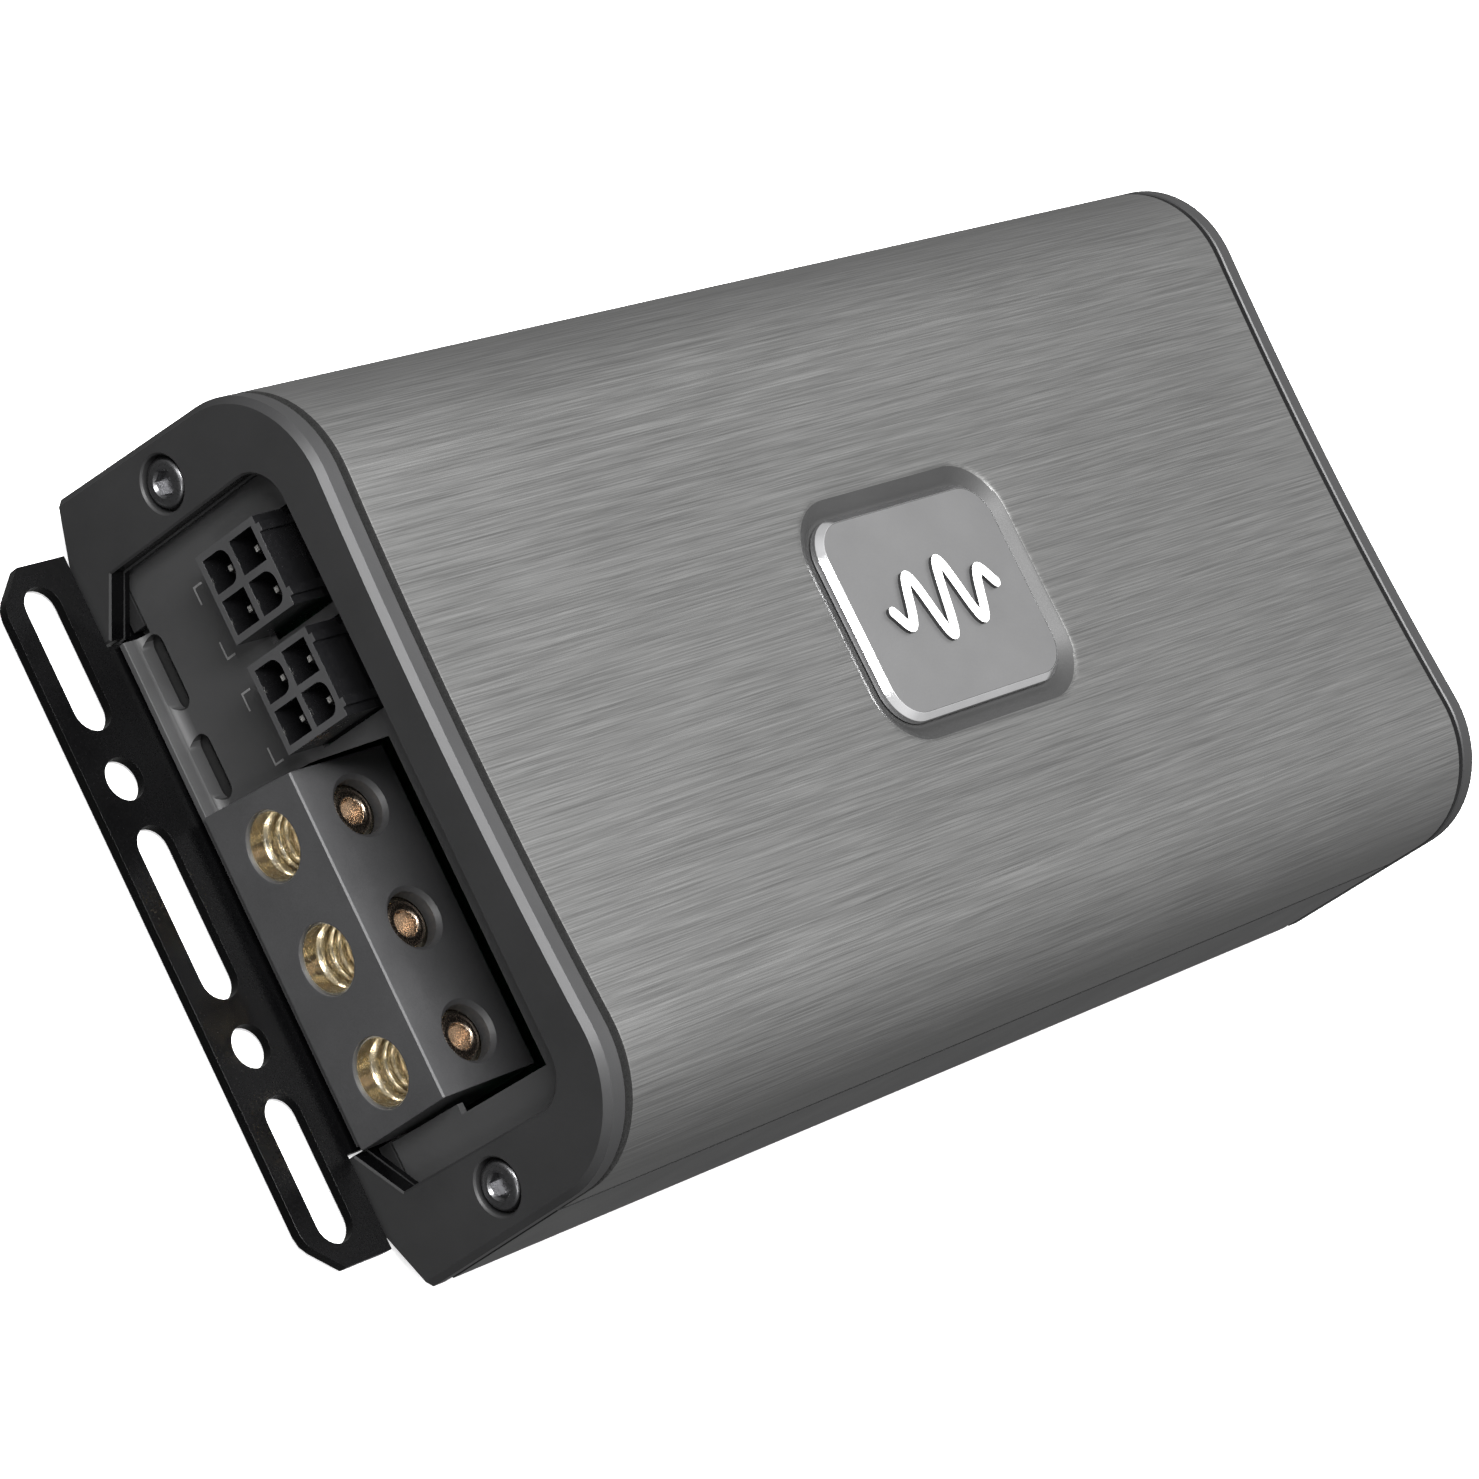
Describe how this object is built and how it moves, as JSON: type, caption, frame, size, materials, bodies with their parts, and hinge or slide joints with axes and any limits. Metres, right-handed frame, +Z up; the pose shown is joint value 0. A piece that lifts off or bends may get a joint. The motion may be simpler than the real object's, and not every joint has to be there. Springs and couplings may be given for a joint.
{
  "type": "car amplifier",
  "caption": "Compact car audio amplifier with a dished brushed cover, slotted mounting flanges, plug-in speaker sockets and screw-clamp power terminals.",
  "frame": {"origin": "middle of the bounding box on the plane of the feet", "axes": "+X along the body from the connector end to the input end, +Y across it towards the speaker sockets, +Z up through the cover"},
  "size_m": [0.1766, 0.088, 0.0393],
  "materials": {
    "brushed_gunmetal": "long hairline brushing along the body, clear anodised",
    "anodised_black": "fine matte black anodising",
    "satin_charcoal": "satin charcoal anodising",
    "powder_black": "satin black paint on steel sheet",
    "gasket_black": "matte",
    "block_plastic": "finely grained",
    "connector_plastic": "semi-gloss moulded",
    "brass": "bright machined",
    "tinned_contact": "tinned",
    "zinc_steel": "zinc plated",
    "chrome": "polished",
    "satin_grey": "satin",
    "white_enamel": "white enamel",
    "board_green": "solder mask",
    "ferrite": "matte ferrite",
    "copper_wire": "enamelled copper",
    "cap_sleeve": "shrink sleeve",
    "moulded_epoxy": "moulded",
    "plain_aluminium": "mill finish",
    "nickel": "nickel plated",
    "switch_plastic": "moulded",
    "lamp_blue": "clear tinted"
  },
  "bodies": {
    "chassis": {"top_cover": "brushed_gunmetal", "chassis_tray": "satin_charcoal", "mounting_plate": "powder_black", "connector_end_plate": "anodised_black", "input_end_plate": "anodised_black", "connector_gasket": "gasket_black", "input_gasket": "gasket_black", "connector_panel": "anodised_black", "input_panel": "anodised_black", "speaker_socket_a": "connector_plastic", "speaker_socket_b": "connector_plastic", "power_terminal_block": "block_plastic", "badge_bezel": "chrome", "badge_plate": "satin_grey", "badge_wave": "white_enamel", "main_board": "board_green", "speaker_board": "board_green", "choke_core": "ferrite", "choke_winding": "copper_wire", "transistor_clamp_bar": "plain_aluminium", "line_input_block": "connector_plastic", "power_lamp": "lamp_blue", "speaker_pin_a1": "tinned_contact", "speaker_pin_a2": "tinned_contact", "speaker_pin_a3": "tinned_contact", "speaker_pin_a4": "tinned_contact", "gain_control_a": "switch_plastic", "filter_switch_frame_a": "plain_aluminium", "speaker_pin_b1": "tinned_contact", "speaker_pin_b2": "tinned_contact", "speaker_pin_b3": "tinned_contact", "speaker_pin_b4": "tinned_contact", "gain_control_b": "switch_plastic", "filter_switch_frame_b": "plain_aluminium", "power_terminal_1": "brass", "capacitor_1": "cap_sleeve", "power_transistor_1": "moulded_epoxy", "power_terminal_2": "brass", "capacitor_2": "cap_sleeve", "power_transistor_2": "moulded_epoxy", "power_terminal_3": "brass", "capacitor_3": "cap_sleeve", "power_transistor_3": "moulded_epoxy", "end_plate_screw_1": "zinc_steel", "line_input_shell_1": "nickel", "end_plate_screw_2": "zinc_steel", "line_input_shell_2": "nickel", "end_plate_screw_3": "zinc_steel", "line_input_shell_3": "nickel", "end_plate_screw_4": "zinc_steel", "line_input_shell_4": "nickel"},
    "wire_clamp_screw_1": {"wire_clamp_screw_1": "brass"},
    "wire_clamp_screw_2": {"wire_clamp_screw_2": "brass"},
    "wire_clamp_screw_3": {"wire_clamp_screw_3": "brass"},
    "gain_knob_a": {"gain_knob_a": "switch_plastic"},
    "gain_knob_b": {"gain_knob_b": "switch_plastic"},
    "filter_switch_slider_a": {"filter_switch_slider_a": "switch_plastic"},
    "filter_switch_slider_b": {"filter_switch_slider_b": "switch_plastic"}
  },
  "joints": [
    {"name": "wire_clamp_screw_1_turn", "type": "hinge", "parent": "chassis", "child": "wire_clamp_screw_1", "pos_m": [-0.0705, 0.00193, 0.0154], "axis": [0, 0, -1], "range_deg": [-285, 735]},
    {"name": "wire_clamp_screw_2_turn", "type": "hinge", "parent": "chassis", "child": "wire_clamp_screw_2", "pos_m": [-0.0705, -0.01056, 0.0154], "axis": [0, 0, -1], "range_deg": [-285, 735]},
    {"name": "wire_clamp_screw_3_turn", "type": "hinge", "parent": "chassis", "child": "wire_clamp_screw_3", "pos_m": [-0.0705, -0.02305, 0.0154], "axis": [0, 0, -1], "range_deg": [-285, 735]},
    {"name": "gain_knob_a_turn", "type": "hinge", "parent": "chassis", "child": "gain_knob_a", "pos_m": [0.0787, 0.0025, 0.025], "axis": [1, 0, 0], "range_deg": [-150, 150]},
    {"name": "filter_switch_a_slide", "type": "slide", "parent": "chassis", "child": "filter_switch_slider_a", "axis": [0, 1, 0], "range_m": [-0.002, 0.002]},
    {"name": "gain_knob_b_turn", "type": "hinge", "parent": "chassis", "child": "gain_knob_b", "pos_m": [0.0787, 0.0155, 0.025], "axis": [1, 0, 0], "range_deg": [-150, 150]},
    {"name": "filter_switch_b_slide", "type": "slide", "parent": "chassis", "child": "filter_switch_slider_b", "axis": [0, 1, 0], "range_m": [-0.002, 0.002]}
  ]
}
